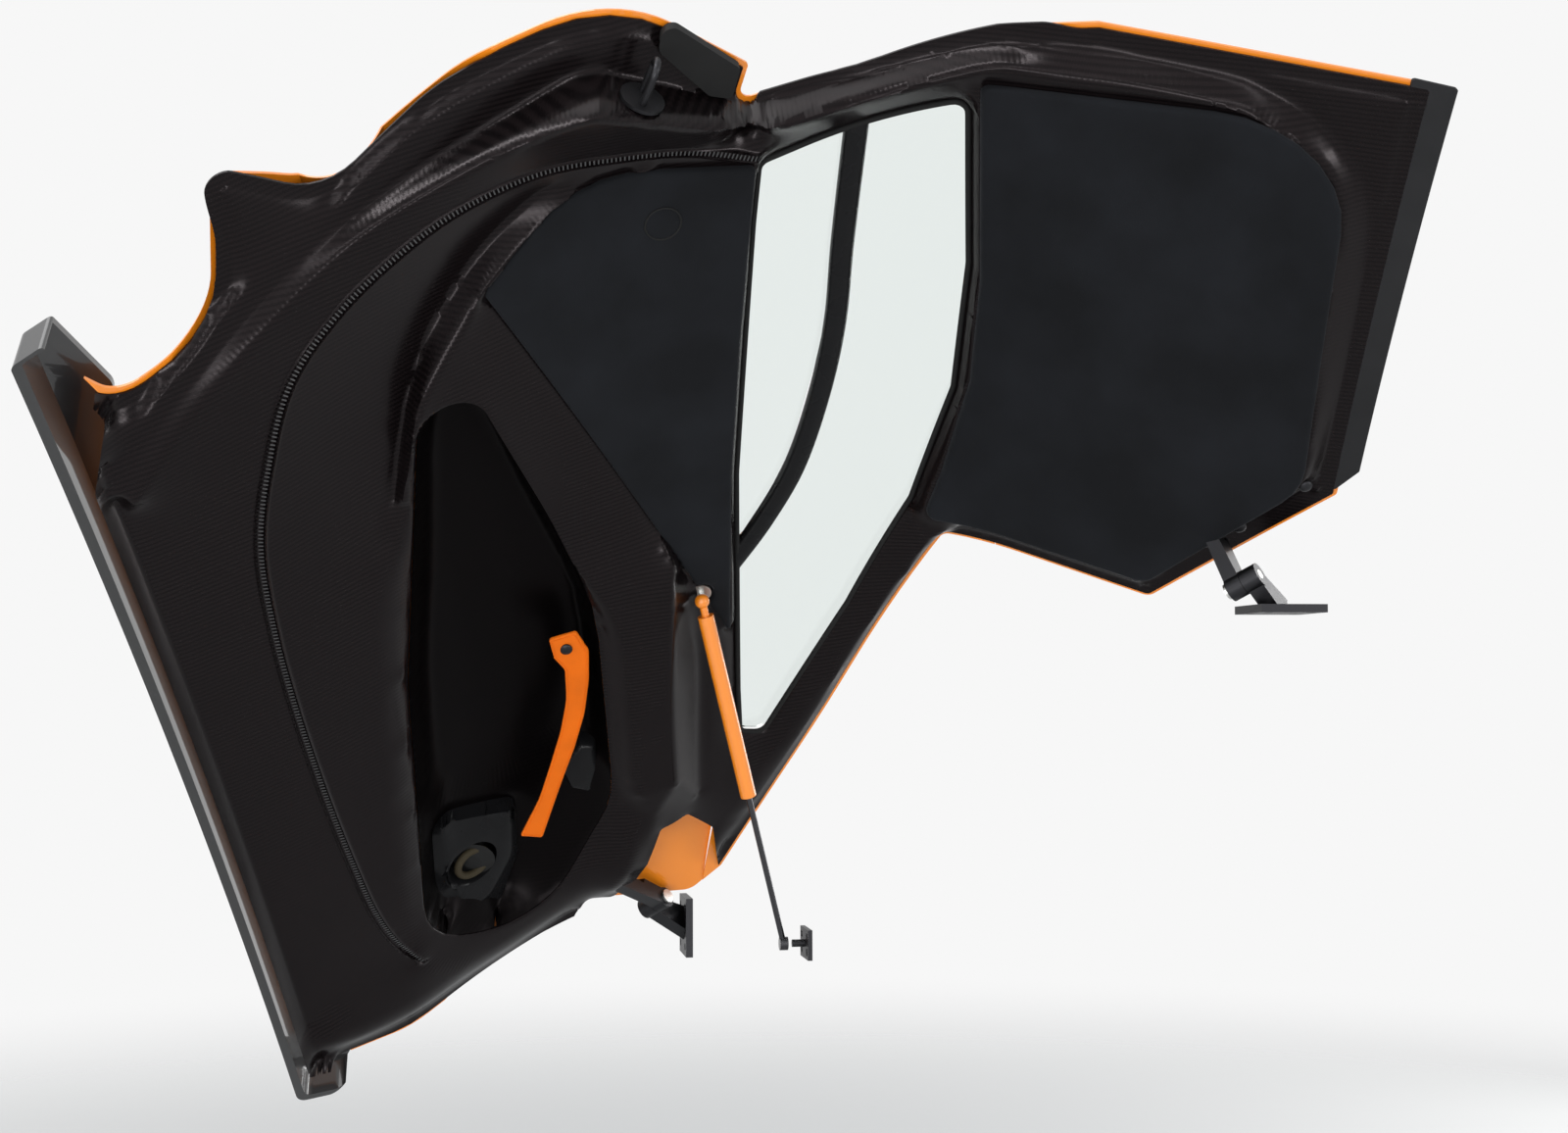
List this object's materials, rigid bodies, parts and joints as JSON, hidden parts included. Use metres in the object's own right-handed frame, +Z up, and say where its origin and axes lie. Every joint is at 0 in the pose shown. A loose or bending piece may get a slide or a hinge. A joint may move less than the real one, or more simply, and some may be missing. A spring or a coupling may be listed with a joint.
{
  "type": "dihedral car door",
  "caption": "Left dihedral car door with roof section, open: carbon inner moulding, orange skins, glass, suede pads, strap, gas strut, angled hinges.",
  "frame": {"origin": "centre of the lower hinge bracket's four bolts, on its back face against the car's pillar", "axes": "car axes: +X forward, +Y out to the car's left, +Z up; the door stands open as in the picture"},
  "size_m": [1.1747, 1.4536, 1.2385],
  "materials": {
    "carbon": "satin lacquered twill weave carbon fibre",
    "body_paint": "gloss solid orange body paint",
    "black_trim": "fine grained matt black",
    "gloss_black": "piano gloss black",
    "window_glass": "clear laminated glass with a faint green tint",
    "suede": "short nap black microfibre suede",
    "speaker": "dark woven cone",
    "strap": "orange leather, stitched",
    "black_steel": "gloss black powder coat",
    "zinc_steel": "bright zinc plate",
    "strut_paint": "gloss orange lacquer",
    "dark_chrome": "dark hard chrome"
  },
  "bodies": {
    "car_side": {"lower_hinge_bracket": "black_steel", "upper_hinge_bracket": "black_steel", "lower_hinge_pin": "zinc_steel", "upper_hinge_pin": "zinc_steel", "strut_lower_bracket": "zinc_steel"},
    "door": {"door_pad": "suede", "gutter_flange": "black_trim", "inner_moulding": "carbon", "lower_hinge_arm": "black_steel", "map_pocket": "carbon", "outer_skin": "body_paint", "pillar_skin": "body_paint", "pull_strap": "strap", "rear_end_pad": "black_trim", "roof_pad": "suede", "roof_skin": "body_paint", "sill_blade": "gloss_black", "speaker_cone": "speaker", "speaker_housing": "black_trim", "striker_loop": "black_steel", "striker_plate": "black_trim", "strut_upper_stud": "zinc_steel", "upper_hinge_arm": "black_steel", "window_divider": "gloss_black", "window_lower_glass": "window_glass", "window_upper_glass": "window_glass"},
    "strut_tube": {"strut_cylinder": "strut_paint"},
    "strut_piston_rod": {"strut_rod": "dark_chrome"}
  },
  "joints": [
    {"name": "door_swing", "type": "hinge", "parent": "car_side", "child": "door", "pos_m": [-0.044, 0.062, 0.034], "axis": [-0.6018, -0.6674, 0.4387], "range_deg": [0, 60]},
    {"name": "strut_turn", "type": "hinge", "parent": "door", "child": "strut_tube", "pos_m": [-0.41544, 0.03175, 0.45576], "axis": [0.946, -0.0581, 0.3188], "range_deg": [0, 11.5]},
    {"name": "strut_slide", "type": "slide", "parent": "strut_tube", "child": "strut_piston_rod", "axis": [0.2942, -0.2582, -0.9202], "range_m": [-0.136, 0]}
  ],
  "couplings": [
    {"joint": "strut_turn", "follows": "door_swing", "ratio": 0.18925},
    {"joint": "strut_slide", "follows": "door_swing", "m_per_rad": -0.12862}
  ]
}
